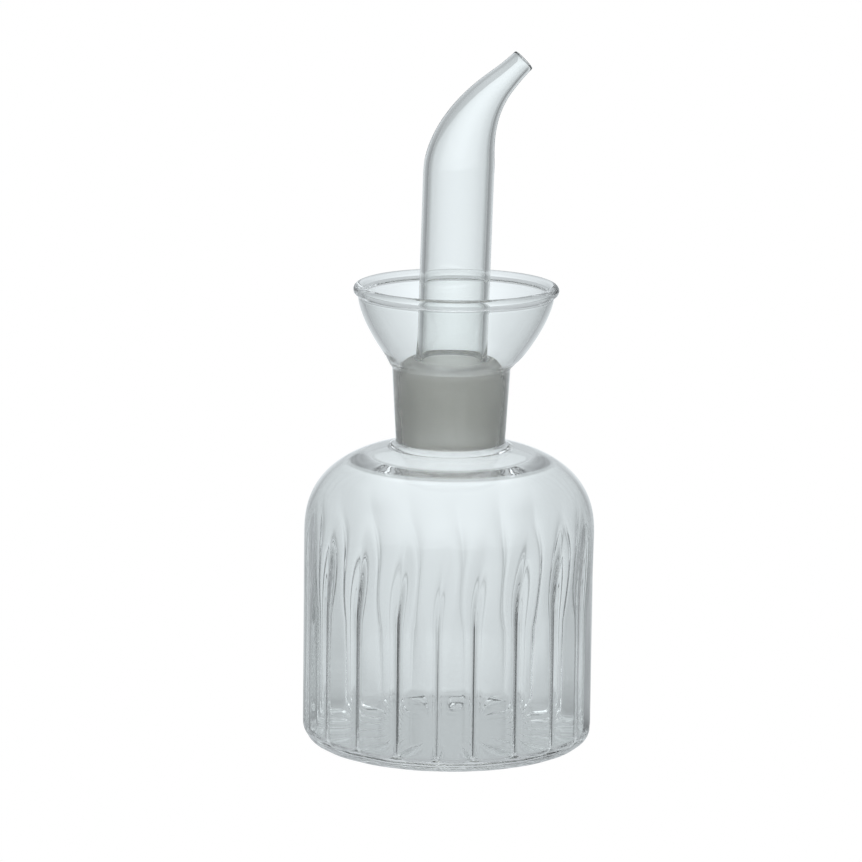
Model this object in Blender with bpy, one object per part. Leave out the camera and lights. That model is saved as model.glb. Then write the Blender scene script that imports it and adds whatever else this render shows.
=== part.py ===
"""A glass oil cruet: a ribbed bottle blown in one piece with its neck and drip funnel, and a pouring spout.

The spout's hollow plug is ground to a taper and stands in the neck's ground bore. Units are metres, +Z is
up, and the origin is the middle of the base. The front looks along -Y and the spout bends towards +X. Front
angles are counted from the front towards +X. Every wall is a closed grid of rows and columns worked out from
the sizes below.
"""

from math import cos, pi, radians, sin

import bpy
import numpy as np

MM = 0.001

# The ribbed body
BODY_RADIUS = 40.1 * MM
SIDE_TOP = 58.2 * MM
SHOULDER_RISE = 26.2 * MM
SHOULDER_SQUARENESS = 2.5
BODY_WALL = 1.3 * MM
SHOULDER_WALL = 2.1 * MM
BASE_CORNER = 4.7 * MM
BASE_THICKNESS = 3.1 * MM
FLOOR_CORNER = 2.0 * MM

# The ribs: hollow lobes inside that meet in ridges, with shallow creases over the ridges outside
RIB_COUNT = 20
CREASE_DEPTH = 0.45 * MM
RIDGE_HEIGHT = 1.4 * MM
RIDGE_WIDTH = 0.09
RIB_FIRST_CREASE = radians(-5.35)
RIB_WANDER = ((3, radians(1.9)), (7, radians(0.7)))
RIB_FADE = (40.0 * MM, 70.0 * MM)
RIB_TWIST = radians(7.0)

# The neck and its ground bore
NECK_RADIUS_LOW = 15.05 * MM
NECK_RADIUS_HIGH = 16.25 * MM
NECK_LOW = 85.1 * MM
NECK_HIGH = 105.0 * MM
NECK_FILLET = 1.5 * MM
BORE_RADIUS_LOW = 13.35 * MM
BORE_RADIUS_HIGH = 14.40 * MM
BORE_LOW = 83.6 * MM
BORE_HIGH = 105.4 * MM
BORE_MOUTH_ROUND = 2.0 * MM

# The drip funnel
FUNNEL_RADIUS = 26.9 * MM
FUNNEL_TOP = 126.6 * MM
FUNNEL_CURVE = 1.54
FUNNEL_WALL = 1.5 * MM
FUNNEL_OFFSET = 0.7 * MM
FUNNEL_OFFSET_RAMP = 4.0 * MM
FUNNEL_LEAN = radians(1.0)
RIM_RADIUS = 26.7 * MM
RIM_BEAD_RADIUS = 1.5 * MM
RIM_BEAD_TURN = (-80, 220)

# The plug of the spout, ground to the bore's taper
SEAT_GAP = 0.3 * MM
PLUG_LOW = 83.9 * MM
PLUG_HIGH = 104.4 * MM
PLUG_WALL = 1.8 * MM
PLUG_DOME_RISE = 3.4 * MM
PLUG_DOME_TURN = (0, 75)
HOLLOW_DROP = 0.5 * MM
HOLLOW_DOME_RISE = 2.2 * MM
ROOT_RISE = 4.0 * MM
HOLLOW_ROOT_RISE = 3.1 * MM
ROOT_FLARE = 0.2 * MM
GROOVE_ANGLE = radians(-65.0)
GROOVE_DEPTH = 1.0 * MM

# The pouring tube: straight with a slight lean, then bent, then straight to the tip
TUBE_START = (0.1 * MM, 107.0 * MM)
TUBE_LEAN = radians(1.35)
TUBE_STRAIGHT = 50.9 * MM
TUBE_BEND_RADIUS = 37.5 * MM
TUBE_BEND_ANGLE = radians(43.6)
TUBE_END = 9.2 * MM
TUBE_RADIUS = 9.67 * MM
TUBE_WALL = 1.45 * MM
TIP_RADIUS = 3.32 * MM
TIP_WALL = 0.95 * MM
TIP_ROUND = 0.5 * MM
LIP_SHARES = (0.3, 0.7)
TAPER_START = 53.5 * MM

# The glass
GLASS_IOR = 1.47
BOTTLE_TINT = (0.93, 0.97, 0.98)
BOTTLE_ROUGHNESS = 0.02
SPOUT_TINT = (0.92, 0.96, 0.97)
SPOUT_ROUGHNESS = 0.05

# Mesh fineness
COLUMNS_PER_RIB = 6
SPOUT_COLUMNS = 32
SHARP_ANGLE = radians(40.0)


def arc(centre_r, centre_z, radius_r, radius_z, start, end, count):
    """Points (r, z) on an ellipse's arc from one angle to another, in degrees, both ends included."""
    turn = np.radians(np.linspace(start, end, count))
    return np.column_stack([centre_r + radius_r * np.cos(turn), centre_z + radius_z * np.sin(turn)])


def smooth_step(value, low, high):
    """0 below low, 1 above high, and 3t^2 - 2t^3 between."""
    share = np.clip((value - low) / (high - low), 0.0, 1.0)
    return share * share * (3.0 - 2.0 * share)


def crease_share(count):
    """One rib from crease to crease: 1 at the crease and 0 on the lobe's crown, falling as 1 - sin."""
    return 1.0 - np.sin(pi * np.arange(count) / count)


def ridge_share(count):
    """The same inside the wall, where the ridge falls faster: exp(-distance / width), in shares of a rib."""
    fall = np.exp(-np.sin(pi * np.arange(count) / count) / (pi * RIDGE_WIDTH))
    lowest = np.exp(-1.0 / (pi * RIDGE_WIDTH))
    return (fall - lowest) / (1.0 - lowest)


def shoulder(inset, wall, count, last_radius):
    """The shoulder's dome from the side inwards: a superellipse quarter that stops at last_radius."""
    half_width = BODY_RADIUS - inset
    rise = SHOULDER_RISE - wall
    power = 2.0 / SHOULDER_SQUARENESS
    last_turn = np.arccos((last_radius / half_width) ** (1.0 / power))
    turn = np.linspace(0.0, last_turn, count)
    return np.column_stack([half_width * np.cos(turn) ** power, SIDE_TOP + rise * np.sin(turn) ** power])


def funnel(count):
    """The funnel's outside from the neck to the rim, steepening as 1 - (1 - t)^curve."""
    share = np.linspace(0.0, 1.0, count)
    flare = 1.0 - (1.0 - share) ** FUNNEL_CURVE
    radius = NECK_RADIUS_HIGH + (FUNNEL_RADIUS - NECK_RADIUS_HIGH) * flare
    top = FUNNEL_TOP - RIM_BEAD_RADIUS
    return np.column_stack([radius, NECK_HIGH + (top - NECK_HIGH) * share])


def inward(rows, distance):
    """The same rows moved square to themselves, towards the axis side."""
    along = np.gradient(rows, axis=0)
    along /= np.linalg.norm(along, axis=1)[:, None]
    return rows + distance * np.column_stack([-along[:, 1], along[:, 0]])


def body_outside():
    """Rows from the flat base, round its corner, up the side and over the shoulder."""
    corner = arc(BODY_RADIUS - BASE_CORNER, BASE_CORNER, BASE_CORNER, BASE_CORNER, -90, 0, 4)
    fade = np.linspace(RIB_FADE[0], SIDE_TOP, 3)[:-1]
    side = np.column_stack([np.full(fade.size, BODY_RADIUS), fade])
    return np.vstack([corner, side, shoulder(0.0, 0.0, 10, NECK_RADIUS_LOW + NECK_FILLET)])


def neck_and_funnel():
    """Rows from the neck's foot, up its outside and the funnel's, over the rim, and down into the bore."""
    neck = arc(NECK_RADIUS_LOW + NECK_FILLET, NECK_LOW, NECK_FILLET, NECK_FILLET, 225, 180, 2)
    outside = funnel(7)
    rim = arc(RIM_RADIUS, FUNNEL_TOP, RIM_BEAD_RADIUS, RIM_BEAD_RADIUS, *RIM_BEAD_TURN, 8)
    inside = inward(funnel(6), FUNNEL_WALL)[::-1]
    bore = np.array([[BORE_RADIUS_HIGH, BORE_HIGH], [BORE_RADIUS_LOW, BORE_LOW]])
    return np.vstack([neck, outside, rim, inside[:-1], bore])


def body_inside():
    """Rows from the bore's lower mouth, under the shoulder, down the side and round to the floor."""
    centre = BORE_RADIUS_LOW + BORE_MOUTH_ROUND
    mouth = arc(centre, BORE_LOW, BORE_MOUTH_ROUND, BORE_MOUTH_ROUND, 225, 225, 1)
    dome = shoulder(BODY_WALL, SHOULDER_WALL, 9, BORE_RADIUS_LOW + BORE_MOUTH_ROUND)[::-1]
    side_radius = BODY_RADIUS - BODY_WALL
    side = np.array([[side_radius, RIB_FADE[0]]])
    corner_z = BASE_THICKNESS + FLOOR_CORNER
    corner = arc(side_radius - FLOOR_CORNER, corner_z, FLOOR_CORNER, FLOOR_CORNER, 0, -90, 4)
    return np.vstack([mouth, dome, side, corner])


def column_angles():
    """Front angles of the columns: each crease falls on a column, and the ribs wander a little."""
    count = RIB_COUNT * COLUMNS_PER_RIB
    even = RIB_FIRST_CREASE + 2.0 * pi * np.arange(count) / count
    return even - sum(size * np.sin(waves * even) for waves, size in RIB_WANDER)


def ring_points(rows, angles, share, depth):
    """Places rows (r, z) round the axis, drawn in by each column's share of the depth.

    The ribs fade out and twist at the shoulder. The funnel stands a little to the side of the neck and leans.
    """
    fade = smooth_step(rows[:, 1], *RIB_FADE)
    radius = rows[:, :1] - depth * (1.0 - fade)[:, None] * share[None, :]
    turned = angles[None, :] + (RIB_TWIST * fade)[:, None]
    above_neck = np.maximum(rows[:, 1] - NECK_HIGH, 0.0)
    shift = FUNNEL_OFFSET * smooth_step(above_neck, 0.0, FUNNEL_OFFSET_RAMP) + above_neck * sin(FUNNEL_LEAN)
    height = np.broadcast_to(rows[:, 1:], radius.shape)
    return np.stack([radius * np.sin(turned) + shift[:, None], -radius * np.cos(turned), height], axis=-1)


def ring_faces(lower, upper):
    """Quads between two rings of point numbers, or triangles where one ring has half the other's columns."""
    if lower.size == upper.size:
        return [list(quad) for quad in zip(lower, np.roll(lower, -1), np.roll(upper, -1), upper)]
    faces = []
    if lower.size == 2 * upper.size:
        for k in range(upper.size):
            a, b, c = lower[2 * k], lower[2 * k + 1], lower[(2 * k + 2) % lower.size]
            d, e = upper[k], upper[(k + 1) % upper.size]
            faces += [[a, b, d], [b, e, d], [b, c, e]]
        return faces
    return [face[::-1] for face in ring_faces(upper, lower)]


def new_object(name, points, faces, colour, roughness):
    """A mesh object with its own glass material."""
    mesh = bpy.data.meshes.new(name)
    mesh.from_pydata(points.tolist(), [], faces)
    mesh.validate()
    mesh.shade_smooth()
    mesh.set_sharp_from_angle(angle=SHARP_ANGLE)
    material = bpy.data.materials.new(name + "_glass")
    material.use_nodes = True
    shader = material.node_tree.nodes["Principled BSDF"]
    shader.inputs["Base Color"].default_value = (*colour, 1.0)
    shader.inputs["Roughness"].default_value = roughness
    shader.inputs["Metallic"].default_value = 0.0
    shader.inputs["IOR"].default_value = GLASS_IOR
    shader.inputs["Transmission Weight"].default_value = 1.0
    mesh.materials.append(material)
    thing = bpy.data.objects.new(name, mesh)
    bpy.context.scene.collection.objects.link(thing)
    return thing


def make_bottle():
    """The whole bottle as one wall: from the middle of the base, up, over the rim and back to the floor."""
    angles = column_angles()
    crease = np.tile(crease_share(COLUMNS_PER_RIB), RIB_COUNT)
    ridge = np.tile(ridge_share(COLUMNS_PER_RIB), RIB_COUNT)
    wide = slice(None)
    narrow = slice(None, None, 2)
    zones = [
        (body_outside(), wide, crease, CREASE_DEPTH),
        (neck_and_funnel(), narrow, crease, 0.0),
        (body_inside(), wide, ridge, RIDGE_HEIGHT),
    ]
    points = [np.zeros((1, 3))]
    rings = []
    used = 1
    for rows, columns, share, depth in zones:
        block = ring_points(rows, angles[columns], share[columns], depth)
        for row in block:
            rings.append(used + np.arange(len(row)))
            used += len(row)
        points.append(block.reshape(-1, 3))
    points.append(np.array([[0.0, 0.0, BASE_THICKNESS]]))
    faces = [[0, b, a] for a, b in zip(rings[0], np.roll(rings[0], -1))]
    for lower, upper in zip(rings, rings[1:]):
        faces += ring_faces(lower, upper)
    faces += [[a, b, used] for a, b in zip(rings[-1], np.roll(rings[-1], -1))]
    return new_object("bottle", np.vstack(points), faces, BOTTLE_TINT, BOTTLE_ROUGHNESS)


def spine(station):
    """The tube's centre line at a length from its start: x, z and the tilt from upright towards +X."""
    straight = min(station, TUBE_STRAIGHT)
    bend = min(max(station - TUBE_STRAIGHT, 0.0), TUBE_BEND_RADIUS * TUBE_BEND_ANGLE)
    last = station - straight - bend
    tilt = TUBE_LEAN + bend / TUBE_BEND_RADIUS
    x = TUBE_START[0] + straight * sin(TUBE_LEAN)
    z = TUBE_START[1] + straight * cos(TUBE_LEAN)
    x += TUBE_BEND_RADIUS * (cos(TUBE_LEAN) - cos(tilt)) + last * sin(tilt)
    z += TUBE_BEND_RADIUS * (sin(tilt) - sin(TUBE_LEAN)) + last * cos(tilt)
    return x, z, tilt


def taper(station, length):
    """0 where the tube starts to narrow and 1 at the tip, as 1 - (1 - t^1.5)^2."""
    share = max(station - TAPER_START, 0.0) / (length - TAPER_START)
    return 1.0 - (1.0 - share ** 1.5) ** 2


def tube_sections(length, skin):
    """Sections (x, z, tilt, radius) of the tube above its root, with skin 1 outside and 0 inside the wall."""
    bend_end = TUBE_STRAIGHT + TUBE_BEND_RADIUS * TUBE_BEND_ANGLE
    stations = [TUBE_STRAIGHT / 2, TUBE_STRAIGHT]
    stations += list(np.linspace(TUBE_STRAIGHT, bend_end, 9)[1:])
    stations += list(np.linspace(bend_end, length - TIP_ROUND, 3)[1:])
    sections = []
    for station in stations:
        narrowed = taper(station, length)
        wall = TUBE_WALL + (TIP_WALL - TUBE_WALL) * narrowed
        radius = TUBE_RADIUS + (TIP_RADIUS - TUBE_RADIUS) * narrowed
        sections.append((*spine(station), radius - (1.0 - skin) * wall))
    return sections


def plug_outside():
    """Upright sections of the plug from its lower edge, up the ground taper and over its dome to the tube."""
    slope = (BORE_RADIUS_HIGH - BORE_RADIUS_LOW) / (BORE_HIGH - BORE_LOW)
    low = BORE_RADIUS_LOW - SEAT_GAP + slope * (PLUG_LOW - BORE_LOW)
    high = BORE_RADIUS_LOW - SEAT_GAP + slope * (PLUG_HIGH - BORE_LOW)
    dome = arc(TUBE_RADIUS, PLUG_HIGH, high - TUBE_RADIUS, PLUG_DOME_RISE, *PLUG_DOME_TURN, 5)
    root = np.array([[TUBE_RADIUS + ROOT_FLARE, PLUG_HIGH + ROOT_RISE]])
    return np.vstack([[[low, PLUG_LOW]], dome, root])


def plug_inside():
    """Sections of the plug's hollow from its lower edge up to the tube's bore."""
    outside = plug_outside()
    low = outside[0] - np.array([PLUG_WALL, 0.0])
    high_radius = outside[1, 0] - PLUG_WALL
    bore = TUBE_RADIUS - TUBE_WALL
    dome = arc(bore, PLUG_HIGH - HOLLOW_DROP, high_radius - bore, HOLLOW_DOME_RISE, *PLUG_DOME_TURN, 4)
    root = np.array([[bore + ROOT_FLARE, PLUG_HIGH + HOLLOW_ROOT_RISE]])
    return np.vstack([[low], dome, root])


def make_spout():
    """The plug and the tube as one wall: up the outside, over the lip, down the inside and round the foot."""
    length = TUBE_STRAIGHT + TUBE_BEND_RADIUS * TUBE_BEND_ANGLE + TUBE_END
    outer_plug = [(0.0, z, 0.0, radius) for radius, z in plug_outside()]
    inner_plug = [(0.0, z, 0.0, radius) for radius, z in plug_inside()]
    tip_x, tip_z, tip_tilt = spine(length)
    lip = [(tip_x, tip_z, tip_tilt, TIP_RADIUS - share * TIP_WALL) for share in LIP_SHARES]
    outer_tube = tube_sections(length, 1.0)
    inner_tube = tube_sections(length, 0.0)
    sections = outer_plug + outer_tube + lip + inner_tube[::-1] + inner_plug[::-1]
    groove_rows = range(3)

    angles = GROOVE_ANGLE + 2.0 * pi * np.arange(SPOUT_COLUMNS) / SPOUT_COLUMNS
    points = []
    for number, (x, z, tilt, radius) in enumerate(sections):
        reach = np.full(SPOUT_COLUMNS, radius)
        if number in groove_rows:
            reach[0] -= GROOVE_DEPTH
        sideways = reach * np.sin(angles)
        points.append(np.column_stack([
            x + sideways * cos(tilt), -reach * np.cos(angles), z - sideways * sin(tilt),
        ]))
    rings = np.arange(len(sections) * SPOUT_COLUMNS).reshape(len(sections), SPOUT_COLUMNS)
    faces = []
    for lower, upper in zip(rings, np.roll(rings, -1, axis=0)):
        faces += ring_faces(lower, upper)
    return new_object("spout", np.vstack(points), faces, SPOUT_TINT, SPOUT_ROUGHNESS)


def clear_scene():
    """Removes whatever the file holds."""
    for thing in list(bpy.data.objects):
        bpy.data.objects.remove(thing)


clear_scene()
make_bottle()
make_spout()
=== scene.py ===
from math import cos, pi, radians, sin, sqrt

import bpy
import numpy as np
from mathutils import Matrix, Vector


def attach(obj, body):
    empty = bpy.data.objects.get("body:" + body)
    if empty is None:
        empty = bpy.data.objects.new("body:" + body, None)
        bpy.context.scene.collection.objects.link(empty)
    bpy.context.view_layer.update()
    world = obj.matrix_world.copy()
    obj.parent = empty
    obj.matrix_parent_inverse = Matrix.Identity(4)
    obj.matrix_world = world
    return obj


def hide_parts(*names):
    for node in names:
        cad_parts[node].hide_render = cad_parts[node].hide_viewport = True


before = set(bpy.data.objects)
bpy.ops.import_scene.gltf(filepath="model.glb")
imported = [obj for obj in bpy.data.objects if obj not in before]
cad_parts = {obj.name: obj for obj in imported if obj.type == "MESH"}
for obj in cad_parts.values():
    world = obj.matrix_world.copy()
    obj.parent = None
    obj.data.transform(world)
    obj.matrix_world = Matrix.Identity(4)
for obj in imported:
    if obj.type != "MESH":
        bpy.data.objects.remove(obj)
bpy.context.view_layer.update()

MM = 0.001

# The ribbed body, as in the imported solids. The shoulder's wall thins between two radii, and its outside runs
# on a little, in shares of the wall, so that the inside reaches the mouth of the bore
BODY_RADIUS = 40.1 * MM
SIDE_TOP = 58.2 * MM
SHOULDER_RISE = 26.2 * MM
SHOULDER_SQUARENESS = 2.5
BODY_WALL = 1.3 * MM
SHOULDER_WALL = 2.1 * MM
SHOULDER_THINS = (22.5 * MM, 29.8 * MM)
INNER_REACH = 0.6
BASE_CORNER = 4.7 * MM
BASE_THICKNESS = 3.1 * MM
FLOOR_CORNER = 2.0 * MM

# The ribs: creases outside, each with a ridge behind it inside. Rounding and width are in shares of a rib,
# low down and higher up. Pairs in mm are the heights or radii where a change starts and ends
RIB_COUNT = 20
CREASE_DEPTH = 0.45 * MM
CREASE_ROUNDING = 0.10
RIDGE_HEIGHT = 1.4 * MM
RIDGE_ROUNDING = (0.001, 0.10)
RIDGE_WIDTH = (0.09, 0.30)
RIDGE_SOFTENS = (36.0 * MM, 62.0 * MM)
RIDGE_STRENGTH = (
    0.75, 0.9, 1.1, 0.9, 1.0, 1.0, 1.0, 0.9, 1.0, 1.1,
    1.0, 0.9, 1.0, 1.0, 1.1, 1.0, 1.0, 0.9, 1.1, 1.1,
)
RIB_FIRST_CREASE = radians(-5.35)
RIB_WANDER = ((3, radians(1.9)), (7, radians(0.7)))
RIB_FADE = (40.0 * MM, 70.0 * MM)
CREASE_FOOT = (-2.0 * MM, 7.0 * MM)
CREASE_TUCK = (30.0 * MM, 40.0 * MM)
TWIST_RISE = (40.0 * MM, 70.0 * MM)
RIB_TWIST = radians(4.5)
FLOOR_RIB_FADE = (16.0 * MM, 38.5 * MM)

# The neck and its ground bore
NECK_RADIUS_LOW = 15.05 * MM
NECK_RADIUS_HIGH = 16.25 * MM
NECK_LOW = 85.1 * MM
NECK_HIGH = 105.0 * MM
NECK_FILLET = 1.5 * MM
NECK_FILLET_TURN = (260, 180)
BORE_RADIUS_LOW = 13.35 * MM
BORE_RADIUS_HIGH = 14.40 * MM
BORE_LOW = 83.6 * MM
BORE_HIGH = 105.4 * MM
BORE_MOUTH_ROUND = 2.0 * MM
MOUTH_TURN = (184, 251)
MOUTH_END = 261

# The drip funnel
FUNNEL_RADIUS = 26.9 * MM
FUNNEL_TOP = 126.6 * MM
FUNNEL_CURVE = 1.54
FUNNEL_WALL = 1.5 * MM
FUNNEL_OFFSET = 0.7 * MM
FUNNEL_OFFSET_RAMP = 4.0 * MM
FUNNEL_LEAN = radians(1.0)
RIM_RADIUS = 26.7 * MM
RIM_BEAD_RADIUS = 1.5 * MM
RIM_BEAD_TURN = (-80, 220)

# The spout's plug
SEAT_GAP = 0.3 * MM
PLUG_LOW = 83.9 * MM
PLUG_HIGH = 104.4 * MM
PLUG_WALL = 1.8 * MM
PLUG_DOME_RISE = 3.4 * MM
HOLLOW_DROP = 0.5 * MM
HOLLOW_DOME_RISE = 2.2 * MM
ROOT_RISE = 4.0 * MM
HOLLOW_ROOT_RISE = 3.1 * MM
ROOT_FLARE = 0.2 * MM
GROUND_DOME_ROWS = 12
GROOVE_ANGLE = radians(-65.0)
GROOVE_DEPTH = 0.9 * MM
GROOVE_WIDTH = radians(5.0)

# The pouring tube
TUBE_START = (0.1 * MM, 107.0 * MM)
TUBE_LEAN = radians(1.35)
TUBE_STRAIGHT = 50.9 * MM
TUBE_BEND_RADIUS = 37.5 * MM
TUBE_BEND_ANGLE = radians(43.6)
TUBE_END = 9.2 * MM
TUBE_RADIUS = 9.67 * MM
TUBE_WALL = 1.45 * MM
TIP_RADIUS = 3.32 * MM
TIP_WALL = 0.95 * MM
TAPER_START = 53.5 * MM
TAPER_CURVE = 1.5
LIP_HEIGHT = 0.5 * MM
LIP_TURN = (30, 150)

# The glass
GLASS_IOR = 1.47
NOISE_DETAIL = 2.0
NOISE_RANGE = (0.3, 0.7)

# How fine the surfaces are: rings up the pieces and columns round them, which crowd towards the creases
POLE_RADIUS = 2.0 * MM
SIDE_START = 8.0 * MM
ROW_GAP = 1.0 * MM
FLOOR_ROW_GAP = 1.5 * MM
BASE_ROWS = 8
CORNER_ROWS = 12
SIDE_ROWS = 6
FADE_ROWS = 10
SHOULDER_ROWS = 44
SHOULDER_SAMPLES = 400
NECK_FILLET_ROWS = 6
FUNNEL_ROWS = 22
RIM_ROWS = 16
BORE_ROWS = 6
MOUTH_ROWS = 7
FLOOR_ROWS = 18
COLUMNS_PER_RIB = 20
COLUMN_CROWDING = 0.88
CONE_ROWS = 12
DOME_ROWS = 14
HOLLOW_CONE_ROWS = 8
HOLLOW_DOME_ROWS = 10
DOME_TURN = (0, 80)
TUBE_SECTIONS = 84
FIRST_SECTION = 0.06
LIP_SECTIONS = 5
SPOUT_COLUMNS = 96
GROUND_SLOT = 1


def arc(centre_r, centre_z, radius_r, radius_z, start, end, count):
    """Points (r, z) on an ellipse's arc from one angle to another, in degrees, both ends included."""
    turn = np.radians(np.linspace(start, end, count))
    return np.column_stack([centre_r + radius_r * np.cos(turn), centre_z + radius_z * np.sin(turn)])


def line(start, end, count):
    """Points (r, z) at even steps from one point to another, both ends included."""
    return np.linspace(start, end, count)


def smooth_step(value, low, high):
    """0 below low, 1 above high, and 3t^2 - 2t^3 between."""
    share = np.clip((value - low) / (high - low), 0.0, 1.0)
    return share * share * (3.0 - 2.0 * share)


def shoulder(count, last_radius):
    """The shoulder's dome from the straight side inwards, cut at last_radius.

    A superellipse quarter: r is the body's radius times cos^p, z the rise times sin^p, p = 2 / squareness.
    """
    power = 2.0 / SHOULDER_SQUARENESS
    last_turn = np.arccos((last_radius / BODY_RADIUS) ** (1.0 / power))
    turn = np.linspace(0.0, last_turn, count)
    radius = BODY_RADIUS * np.cos(turn) ** power
    return np.column_stack([radius, SIDE_TOP + SHOULDER_RISE * np.sin(turn) ** power])


def inner_shoulder(last_radius):
    """The shoulder's inside: the outside moved square to itself by a wall that thickens towards the neck."""
    rows = shoulder(SHOULDER_SAMPLES, last_radius - INNER_REACH * SHOULDER_WALL)
    wall = SHOULDER_WALL + (BODY_WALL - SHOULDER_WALL) * smooth_step(rows[:, 0], *SHOULDER_THINS)
    moved = inward(rows, wall[:, None])
    kept = moved[moved[:, 0] >= last_radius]
    length = np.concatenate([[0.0], np.cumsum(np.linalg.norm(np.diff(kept, axis=0), axis=1))])
    even = np.linspace(0.0, length[-1], SHOULDER_ROWS)
    return np.column_stack([np.interp(even, length, kept[:, 0]), np.interp(even, length, kept[:, 1])])


def funnel():
    """The funnel's outside from the neck to the rim: r grows as 1 - (1 - t)^curve while z grows as t."""
    share = np.linspace(0.0, 1.0, FUNNEL_ROWS)
    flare = 1.0 - (1.0 - share) ** FUNNEL_CURVE
    radius = NECK_RADIUS_HIGH + (FUNNEL_RADIUS - NECK_RADIUS_HIGH) * flare
    top = FUNNEL_TOP - RIM_BEAD_RADIUS
    return np.column_stack([radius, NECK_HIGH + (top - NECK_HIGH) * share])


def inward(rows, distance):
    """The same rows moved square to themselves, towards the axis side."""
    along = np.gradient(rows, axis=0)
    along /= np.linalg.norm(along, axis=1)[:, None]
    return rows + distance * np.column_stack([-along[:, 1], along[:, 0]])


def crease_share(share):
    """Across a rib outside: 1 in the crease and 0 on the crown, as 1 - |sin|, rounded in the crease."""
    wave = np.sqrt(np.sin(pi * share) ** 2 + CREASE_ROUNDING ** 2)
    highest = sqrt(1.0 + CREASE_ROUNDING ** 2)
    return (highest - wave) / (highest - CREASE_ROUNDING)


def ridge_share(share, rounding, width):
    """Across a rib inside: 1 on the ridge and 0 in the middle, as exp(-distance / width), rounded on top."""
    off = np.abs(np.sin(pi * share)) / pi
    distance = np.sqrt(off ** 2 + rounding ** 2) - rounding
    furthest = np.sqrt(1.0 / pi ** 2 + rounding ** 2) - rounding
    lowest = np.exp(-furthest / width)
    return (np.exp(-distance / width) - lowest) / (1.0 - lowest)


def rib_columns():
    """The columns' angles from the front, closer together at the creases, and their shares across a rib."""
    step = np.arange(COLUMNS_PER_RIB) / COLUMNS_PER_RIB
    share = (1.0 - COLUMN_CROWDING) * step + COLUMN_CROWDING * (0.5 - 0.5 * np.cos(pi * step))
    rib = np.arange(RIB_COUNT)[:, None]
    even = RIB_FIRST_CREASE + 2.0 * pi * (rib + share[None, :]).ravel() / RIB_COUNT
    angles = even - sum(size * np.sin(waves * even) for waves, size in RIB_WANDER)
    return angles, np.tile(share, RIB_COUNT)


def ring_mesh(name, points, ring_size, closed, slots):
    """A mesh from rows of rings, with a material slot for each face.

    closed joins the last ring to the first. Otherwise the first and last points close both ends. Slot 0 is
    the clear glass and slot 1 the ground glass.
    """
    if closed:
        rings = np.arange(len(points)).reshape(-1, ring_size)
        lower = rings
        upper = np.roll(rings, -1, axis=0)
    else:
        rings = 1 + np.arange(len(points) - 2).reshape(-1, ring_size)
        lower = rings[:-1]
        upper = rings[1:]
    quads = np.stack([lower, np.roll(lower, -1, axis=1), np.roll(upper, -1, axis=1), upper], axis=-1)
    quads = quads.reshape(-1, 4)
    if closed:
        corners = quads.ravel()
        sizes = np.full(len(quads), 4)
    else:
        first = np.stack([np.zeros(ring_size, int), np.roll(rings[0], -1), rings[0]], axis=-1)
        last_point = np.full(ring_size, len(points) - 1)
        last = np.stack([rings[-1], np.roll(rings[-1], -1), last_point], axis=-1)
        corners = np.concatenate([quads.ravel(), first.ravel(), last.ravel()])
        sizes = np.concatenate([np.full(len(quads), 4), np.full(2 * ring_size, 3)])
    mesh = bpy.data.meshes.new(name)
    mesh.vertices.add(len(points))
    mesh.vertices.foreach_set("co", points.ravel())
    mesh.loops.add(len(corners))
    mesh.loops.foreach_set("vertex_index", corners)
    mesh.polygons.add(len(sizes))
    mesh.polygons.foreach_set("loop_start", np.concatenate([[0], np.cumsum(sizes)[:-1]]))
    mesh.materials.append(clear_glass)
    mesh.materials.append(ground_glass)
    mesh.polygons.foreach_set("material_index", slots)
    mesh.update(calc_edges=True)
    mesh.validate()
    mesh.shade_smooth()
    thing = bpy.data.objects.new(name, mesh)
    bpy.context.scene.collection.objects.link(thing)
    return thing


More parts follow.
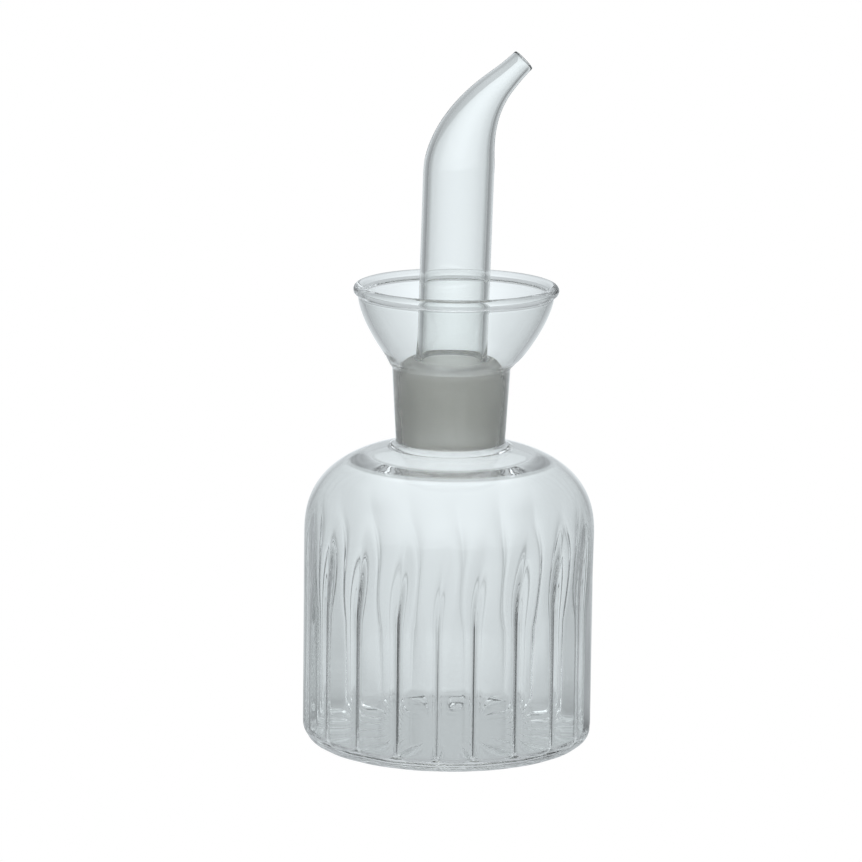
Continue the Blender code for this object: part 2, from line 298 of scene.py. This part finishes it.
def bottle_rows():
    """The bottle's profile as rows (r, z) in three parts.

    They go up the outside, then up the neck, over the rim and down the bore, then down inside to the floor.
    """
    base = line((POLE_RADIUS, 0.0), (BODY_RADIUS - BASE_CORNER, 0.0), BASE_ROWS)[:-1]
    corner = arc(BODY_RADIUS - BASE_CORNER, BASE_CORNER, BASE_CORNER, BASE_CORNER, -90, 0, CORNER_ROWS)
    fade_start = RIB_FADE[0] + ROW_GAP
    fade_end = SIDE_TOP - ROW_GAP
    side = line((BODY_RADIUS, SIDE_START), (BODY_RADIUS, RIB_FADE[0]), SIDE_ROWS)
    fade = line((BODY_RADIUS, fade_start), (BODY_RADIUS, fade_end), FADE_ROWS)
    fillet_r = NECK_RADIUS_LOW + NECK_FILLET
    outside = np.vstack([base, corner, side, fade, shoulder(SHOULDER_ROWS, fillet_r)])

    fillet = arc(fillet_r, NECK_LOW, NECK_FILLET, NECK_FILLET, *NECK_FILLET_TURN, NECK_FILLET_ROWS)
    rim = arc(RIM_RADIUS, FUNNEL_TOP, RIM_BEAD_RADIUS, RIM_BEAD_RADIUS, *RIM_BEAD_TURN, RIM_ROWS)
    inner_funnel = inward(funnel(), FUNNEL_WALL)[::-1][:-1]
    bore = line((BORE_RADIUS_HIGH, BORE_HIGH), (BORE_RADIUS_LOW, BORE_LOW), BORE_ROWS)
    neck = np.vstack([fillet, funnel(), rim, inner_funnel, bore])

    mouth_r = BORE_RADIUS_LOW + BORE_MOUTH_ROUND
    reach = BORE_MOUTH_ROUND * np.array([cos(radians(MOUTH_END)), sin(radians(MOUTH_END))])
    dome = inner_shoulder(mouth_r + reach[0])[::-1]
    mouth_z = dome[0, 1] - reach[1]
    mouth = arc(mouth_r, mouth_z, BORE_MOUTH_ROUND, BORE_MOUTH_ROUND, *MOUTH_TURN, MOUTH_ROWS)
    side_r = BODY_RADIUS - BODY_WALL
    fade = line((side_r, fade_end), (side_r, fade_start), FADE_ROWS)
    side = line((side_r, RIB_FADE[0]), (side_r, SIDE_START), SIDE_ROWS)
    corner_r = side_r - FLOOR_CORNER
    corner = arc(corner_r, BASE_THICKNESS + FLOOR_CORNER, FLOOR_CORNER, FLOOR_CORNER, 0, -90, CORNER_ROWS)
    floor = line((corner_r - FLOOR_ROW_GAP, BASE_THICKNESS), (POLE_RADIUS, BASE_THICKNESS), FLOOR_ROWS)
    inside = np.vstack([mouth, dome, fade, side, corner, floor])
    return outside, neck, inside


def crease_depths(rows, share):
    """How far the outside is pressed in at each row and column: less at the foot, none on the shoulder."""
    z = rows[:, 1]
    depth = CREASE_DEPTH * (1.0 - smooth_step(z, *RIB_FADE)) * smooth_step(z, *CREASE_FOOT)
    depth = depth * smooth_step(rows[:, 0], *CREASE_TUCK)
    return depth[:, None] * crease_share(share)[None, :]


def ridge_depths(rows, share):
    """How far the inside stands out at each row and column: softer upwards, and uneven from rib to rib."""
    r, z = rows.T
    depth = RIDGE_HEIGHT * (1.0 - smooth_step(z, *RIB_FADE)) * smooth_step(r, *FLOOR_RIB_FADE)
    softer = smooth_step(z, *RIDGE_SOFTENS)
    rounding = RIDGE_ROUNDING[0] + (RIDGE_ROUNDING[1] - RIDGE_ROUNDING[0]) * softer
    width = RIDGE_WIDTH[0] + (RIDGE_WIDTH[1] - RIDGE_WIDTH[0]) * softer
    across = share.reshape(RIB_COUNT, -1)
    strength = np.array(RIDGE_STRENGTH)[:, None]
    strength = strength * (1.0 - across) + np.roll(strength, -1, axis=0) * across
    ridge = ridge_share(share[None, :], rounding[:, None], width[:, None])
    return depth[:, None] * strength.ravel() * ridge


def make_bottle():
    """The bottle as one closed wall of rings.

    A point is its row (r, z) moved towards the hollow by the ribs' depth there, at its column's angle. The
    ribs fade out and twist at the shoulder, and the funnel is shifted and leans.
    """
    angles, share = rib_columns()
    outer, neck, inner = bottle_rows()
    rows = np.vstack([outer, neck, inner])
    first_inner = len(outer) + len(neck)
    along = np.gradient(rows, axis=0)
    along /= np.linalg.norm(along, axis=1)[:, None]
    to_hollow = np.column_stack([-along[:, 1], along[:, 0]])
    to_hollow[first_inner:] *= -1.0
    depth = np.zeros((len(rows), len(angles)))
    depth[:len(outer)] = crease_depths(outer, share)
    depth[first_inner:] = ridge_depths(inner, share)
    radius = rows[:, :1] + depth * to_hollow[:, :1]
    height = rows[:, 1:] + depth * to_hollow[:, 1:]
    turned = angles[None, :] + (RIB_TWIST * smooth_step(rows[:, 1], *TWIST_RISE))[:, None]
    above_neck = np.maximum(rows[:, 1] - NECK_HIGH, 0.0)
    shift = FUNNEL_OFFSET * smooth_step(above_neck, 0.0, FUNNEL_OFFSET_RAMP)
    shift = (shift + above_neck * sin(FUNNEL_LEAN))[:, None]
    grid = np.stack([radius * np.sin(turned) + shift, -radius * np.cos(turned), height], axis=-1)
    points = np.vstack([[[0.0, 0.0, 0.0]], grid.reshape(-1, 3), [[0.0, 0.0, BASE_THICKNESS]]])
    bands = np.zeros((len(rows) - 1, len(angles)), np.int32)
    bands[first_inner - BORE_ROWS:first_inner - 1] = GROUND_SLOT
    caps = np.zeros(2 * len(angles), np.int32)
    return ring_mesh("blown_bottle", points, len(angles), False, np.concatenate([bands.ravel(), caps]))


def spine(station):
    """The tube's centre line at lengths from its start: x, z and the tilt from upright towards +X."""
    straight = np.minimum(station, TUBE_STRAIGHT)
    bend = np.clip(station - TUBE_STRAIGHT, 0.0, TUBE_BEND_RADIUS * TUBE_BEND_ANGLE)
    last = station - straight - bend
    tilt = TUBE_LEAN + bend / TUBE_BEND_RADIUS
    x = TUBE_START[0] + straight * sin(TUBE_LEAN)
    z = TUBE_START[1] + straight * cos(TUBE_LEAN)
    x = x + TUBE_BEND_RADIUS * (cos(TUBE_LEAN) - np.cos(tilt)) + last * np.sin(tilt)
    z = z + TUBE_BEND_RADIUS * (np.sin(tilt) - sin(TUBE_LEAN)) + last * np.cos(tilt)
    return x, z, tilt


def tube_sections(length, skin):
    """Sections (x, z, tilt, radius) along the tube, outside its wall with skin 1 and inside with skin 0.

    The tube and its wall narrow as 1 - (1 - t^curve)^2 from the taper's start to the tip.
    """
    station = np.linspace(FIRST_SECTION, 1.0, TUBE_SECTIONS) * (length - LIP_HEIGHT)
    share = np.maximum(station - TAPER_START, 0.0) / (length - TAPER_START)
    narrowed = 1.0 - (1.0 - share ** TAPER_CURVE) ** 2
    wall = TUBE_WALL + (TIP_WALL - TUBE_WALL) * narrowed
    radius = TUBE_RADIUS + (TIP_RADIUS - TUBE_RADIUS) * narrowed
    x, z, tilt = spine(station)
    return np.column_stack([x, z, tilt, radius - (1.0 - skin) * wall])


def upright(rows):
    """Sections of rows (r, z) that stand on the axis."""
    nothing = np.zeros(len(rows))
    return np.column_stack([nothing, rows[:, 1], nothing, rows[:, 0]])


def plug_outside():
    """The plug's outside as rows (r, z): the ground cone, then a dome that ends at the tube's foot."""
    slope = (BORE_RADIUS_HIGH - BORE_RADIUS_LOW) / (BORE_HIGH - BORE_LOW)
    low = BORE_RADIUS_LOW - SEAT_GAP + slope * (PLUG_LOW - BORE_LOW)
    high = BORE_RADIUS_LOW - SEAT_GAP + slope * (PLUG_HIGH - BORE_LOW)
    cone = line((low, PLUG_LOW), (high, PLUG_HIGH), CONE_ROWS)
    dome = arc(TUBE_RADIUS, PLUG_HIGH, high - TUBE_RADIUS, PLUG_DOME_RISE, *DOME_TURN, DOME_ROWS)[1:]
    root = [[TUBE_RADIUS + ROOT_FLARE, PLUG_HIGH + ROOT_RISE]]
    return np.vstack([cone, dome, root])


def plug_inside(low, high):
    """The plug's hollow as rows (r, z): a cone one wall inside the radii low and high, then its dome."""
    bore = TUBE_RADIUS - TUBE_WALL
    top = PLUG_HIGH - HOLLOW_DROP
    cone = line((low - PLUG_WALL, PLUG_LOW), (high - PLUG_WALL, top), HOLLOW_CONE_ROWS)
    dome = arc(bore, top, high - PLUG_WALL - bore, HOLLOW_DOME_RISE, *DOME_TURN, HOLLOW_DOME_ROWS)[1:]
    root = [[bore + ROOT_FLARE, PLUG_HIGH + HOLLOW_ROOT_RISE]]
    return np.vstack([cone, dome, root])


def lip_sections(length):
    """Sections over the tip's rim: half a circle as wide as the wall, flattened to the lip's height."""
    x, z, tilt = spine(np.full(LIP_SECTIONS, length))
    turn = np.radians(np.linspace(*LIP_TURN, LIP_SECTIONS))
    radius = TIP_RADIUS - TIP_WALL / 2 + TIP_WALL / 2 * np.cos(turn)
    rise = LIP_HEIGHT * (np.sin(turn) - 1.0)
    return np.column_stack([x + rise * np.sin(tilt), z + rise * np.cos(tilt), tilt, radius])


def make_spout():
    """The plug and the tube as one closed wall of rings square to the centre line.

    The drip groove down the plug is a bell curve of the angle, full on the cone and fading over the dome.
    """
    length = TUBE_STRAIGHT + TUBE_BEND_RADIUS * TUBE_BEND_ANGLE + TUBE_END
    plug = plug_outside()
    hollow = plug_inside(plug[0, 0], plug[CONE_ROWS - 1, 0])
    inside = np.vstack([upright(hollow), tube_sections(length, 0.0)])
    sections = np.vstack([upright(plug), tube_sections(length, 1.0), lip_sections(length), inside[::-1]])
    off = 2.0 * pi * np.arange(SPOUT_COLUMNS) / SPOUT_COLUMNS
    angles = GROOVE_ANGLE + off
    groove = GROOVE_DEPTH * np.exp(-(np.minimum(off, 2.0 * pi - off) / GROOVE_WIDTH) ** 2)
    grooved = np.zeros(len(sections))
    grooved[:CONE_ROWS] = 1.0
    grooved[CONE_ROWS:CONE_ROWS + DOME_ROWS - 1] = np.linspace(1.0, 0.0, DOME_ROWS - 1)
    x, z, tilt, radius = (column[:, None] for column in sections.T)
    reach = radius - grooved[:, None] * groove[None, :]
    sideways = reach * np.sin(angles)
    grid = [x + sideways * np.cos(tilt), -reach * np.cos(angles), z - sideways * np.sin(tilt)]
    points = np.stack(grid, axis=-1).reshape(-1, 3)
    bands = np.zeros((len(sections), SPOUT_COLUMNS), np.int32)
    bands[:CONE_ROWS + GROUND_DOME_ROWS] = GROUND_SLOT
    return ring_mesh("pouring_spout", points, SPOUT_COLUMNS, True, bands.ravel())


def glass(name, tint, transmission, roughness, size, ripple):
    """Glass with soft noise of a size (m): it moves the roughness (low, high) and is a ripple (m) high."""
    material = bpy.data.materials.new(name)
    material.use_nodes = True
    tree = material.node_tree
    shader = tree.nodes["Principled BSDF"]
    shader.inputs["Base Color"].default_value = (*tint, 1.0)
    shader.inputs["IOR"].default_value = GLASS_IOR
    shader.inputs["Transmission Weight"].default_value = transmission
    noise = tree.nodes.new("ShaderNodeTexNoise")
    noise.inputs["Scale"].default_value = 1.0 / size
    noise.inputs["Detail"].default_value = NOISE_DETAIL
    tree.links.new(tree.nodes.new("ShaderNodeTexCoord").outputs["Object"], noise.inputs["Vector"])
    height = noise.outputs["Fac"]
    rough = map_node(tree, height, *NOISE_RANGE, *roughness)
    tree.links.new(rough, shader.inputs["Roughness"])
    bump = tree.nodes.new("ShaderNodeBump")
    bump.inputs["Distance"].default_value = ripple
    tree.links.new(height, bump.inputs["Height"])
    tree.links.new(bump.outputs["Normal"], shader.inputs["Normal"])
    return material


# The camera, fitted to the photograph's outline
CAMERA_AT = Vector((-0.00538, -1.23736, 0.33406))
CAMERA_PITCH = radians(11.29)
CAMERA_ROLL = radians(0.679)
CAMERA_LENS = 191.40
SENSOR_WIDTH = 36.0


def make_camera():
    """The camera at the photograph's place, looking down on the cruet and rolled a little."""
    forward = Vector((0.0, cos(CAMERA_PITCH), -sin(CAMERA_PITCH)))
    up = Vector((0.0, sin(CAMERA_PITCH), cos(CAMERA_PITCH)))
    right = Vector((1.0, 0.0, 0.0))
    rolled_right = right * cos(CAMERA_ROLL) + up * sin(CAMERA_ROLL)
    rolled_up = up * cos(CAMERA_ROLL) - right * sin(CAMERA_ROLL)
    data = bpy.data.cameras.new("camera")
    data.lens = CAMERA_LENS
    data.sensor_width = SENSOR_WIDTH
    data.clip_start = 10.0 * MM
    thing = bpy.data.objects.new("camera", data)
    turn = Matrix((rolled_right, rolled_up, -forward)).transposed().to_4x4()
    thing.matrix_world = Matrix.Translation(CAMERA_AT) @ turn
    bpy.context.scene.collection.objects.link(thing)
    bpy.context.scene.camera = thing


def math_node(tree, operation, a, b=None, c=None):
    """A Math node whose inputs are sockets or plain numbers."""
    node = tree.nodes.new("ShaderNodeMath")
    node.operation = operation
    for socket, value in zip(node.inputs, (a, b, c)):
        if value is None:
            continue
        if isinstance(value, (int, float)):
            socket.default_value = value
        else:
            tree.links.new(value, socket)
    return node.outputs[0]


def map_node(tree, value, low, high, out_low, out_high):
    """A smooth Map Range node."""
    node = tree.nodes.new("ShaderNodeMapRange")
    node.interpolation_type = "SMOOTHSTEP"
    tree.links.new(value, node.inputs["Value"])
    for name, number in (("From Min", low), ("From Max", high), ("To Min", out_low), ("To Max", out_high)):
        node.inputs[name].default_value = number
    return node.outputs[0]


def mix_colour(tree, factor, first, second):
    """A colour Mix node between two plain colours or sockets."""
    node = tree.nodes.new("ShaderNodeMix")
    node.data_type = "RGBA"
    tree.links.new(factor, node.inputs["Factor"])
    for socket, value in zip((node.inputs[6], node.inputs[7]), (first, second)):
        if isinstance(value, tuple):
            socket.default_value = (*value, 1.0)
        else:
            tree.links.new(value, socket)
    return node.outputs[2]


# The studio's light: brightness by the angle from straight behind the cruet. The rows go outwards over the
# floor, by the distance in m, and upwards over the walls, by the height of the direction
ANGLES = (0, 10, 25, 50, 90, 135, 180)
# Painted light for the floor to glow with: the first row is a grey painted shadow right under the cruet, and
# the rest is painted light, bright behind the cruet and dark in front of it
FLOOR_PAINTED_LIGHT = (
    (0.036, (0.52, 0.52, 0.52, 0.52, 0.52, 0.52, 0.52)),
    (0.048, (0.72, 0.70, 0.62, 0.42, 0.15, 0.10, 0.10)),
    (0.13, (0.80, 0.76, 0.60, 0.33, 0.15, 0.10, 0.12)),
    (0.26, (0.86, 0.76, 0.55, 0.28, 0.17, 0.12, 0.15)),
    (0.80, (0.95, 0.78, 0.42, 0.30, 0.31, 0.30, 0.30)),
)
WALL_LIGHT = (
    (0.05, (0.60, 0.60, 0.42, 0.30, 0.30, 0.80, 1.00)),
    (0.30, (0.60, 0.60, 0.48, 0.44, 0.42, 1.20, 1.50)),
    (0.60, (0.50, 0.50, 0.48, 0.46, 0.46, 1.40, 1.80)),
    (0.90, (1.60, 1.60, 1.60, 1.60, 1.60, 1.60, 1.60)),
)
LIGHT_TINT = (0.945, 1.0, 1.035)
BOUNCES = 32
FLOOR_HALF = 3.0
FLOOR_DROP = -0.15 * MM
WHITE = (1.0, 1.0, 1.0)


def light_colours(tree, x, y, height, rows):
    """The table's brightness in the direction (x, y): a ramp of angles for each row, mixed by the height."""
    turn = math_node(tree, "ABSOLUTE", math_node(tree, "ARCTAN2", x, y))
    share = math_node(tree, "MULTIPLY", turn, 1.0 / pi)
    colour = None
    for number, (place, row) in enumerate(rows):
        ramp = tree.nodes.new("ShaderNodeValToRGB")
        ramp.color_ramp.interpolation = "EASE"
        stops = ramp.color_ramp.elements
        while len(stops) < len(ANGLES):
            stops.new(0.5)
        for stop, angle, brightness in zip(stops, ANGLES, row):
            stop.position = angle / 180.0
            stop.color = (*(brightness * part for part in LIGHT_TINT), 1.0)
        tree.links.new(share, ramp.inputs[0])
        if number == 0:
            colour = ramp.outputs[0]
        else:
            step = map_node(tree, height, rows[number - 1][0], place, 0.0, 1.0)
            colour = mix_colour(tree, step, colour, ramp.outputs[0])
    return colour


def make_studio():
    """White surroundings for the camera, and for the glass the table's soft light."""
    world = bpy.data.worlds.new("studio")
    bpy.context.scene.world = world
    world.use_nodes = True
    tree = world.node_tree
    tree.nodes.clear()
    out = tree.nodes.new("ShaderNodeOutputWorld")
    background = tree.nodes.new("ShaderNodeBackground")
    tree.links.new(background.outputs[0], out.inputs["Surface"])
    split = tree.nodes.new("ShaderNodeSeparateXYZ")
    tree.links.new(tree.nodes.new("ShaderNodeTexCoord").outputs["Generated"], split.inputs[0])
    x, y, z = split.outputs
    colour = light_colours(tree, x, y, z, WALL_LIGHT)
    seen = tree.nodes.new("ShaderNodeLightPath").outputs["Is Camera Ray"]
    colour = mix_colour(tree, seen, colour, WHITE)
    tree.links.new(colour, background.inputs["Color"])
    for kind in ("max_bounces", "glossy_bounces", "transmission_bounces"):
        setattr(bpy.context.scene.cycles, kind, BOUNCES)


def make_floor():
    """A plain floor under the cruet: white for the camera, for the glass a glow of painted light and shadow.
    """
    mesh = bpy.data.meshes.new("floor")
    sides = ((-1, -1), (1, -1), (1, 1), (-1, 1))
    corners = [(x * FLOOR_HALF, y * FLOOR_HALF, FLOOR_DROP) for x, y in sides]
    mesh.from_pydata(corners, [], [(0, 1, 2, 3)])
    material = bpy.data.materials.new("glowing_floor_painted_light")
    material.use_nodes = True
    tree = material.node_tree
    shader = tree.nodes["Principled BSDF"]
    shader.inputs["Base Color"].default_value = (0.0, 0.0, 0.0, 1.0)
    shader.inputs["Specular IOR Level"].default_value = 0.0
    shader.inputs["Emission Strength"].default_value = 1.0
    split = tree.nodes.new("ShaderNodeSeparateXYZ")
    tree.links.new(tree.nodes.new("ShaderNodeTexCoord").outputs["Object"], split.inputs[0])
    x, y, z = split.outputs
    square = math_node(tree, "MULTIPLY_ADD", x, x, math_node(tree, "MULTIPLY", y, y))
    reach = math_node(tree, "SQRT", square)
    # The glow the glass sees: painted light, with a painted shadow right under the cruet
    colour = light_colours(tree, x, y, reach, FLOOR_PAINTED_LIGHT)
    seen = tree.nodes.new("ShaderNodeLightPath").outputs["Is Camera Ray"]
    colour = mix_colour(tree, seen, colour, WHITE)
    tree.links.new(colour, shader.inputs["Emission Color"])
    mesh.materials.append(material)
    thing = bpy.data.objects.new("floor", mesh)
    bpy.context.scene.collection.objects.link(thing)


make_camera()
make_studio()
make_floor()
bpy.context.scene.view_settings.view_transform = "Standard"

clear_glass = glass("clear_glass", (0.985, 0.995, 0.99), 1.0, (0.0, 0.01), 11.0 * MM, 0.02 * MM)
ground_glass = glass("ground_glass", (0.99, 0.98, 0.94), 0.85, (0.6, 0.8), 0.7 * MM, 0.03 * MM)

bottle = make_bottle()
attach(bottle, "root")
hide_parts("bottle")

spout = make_spout()
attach(spout, "root")
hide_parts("spout")
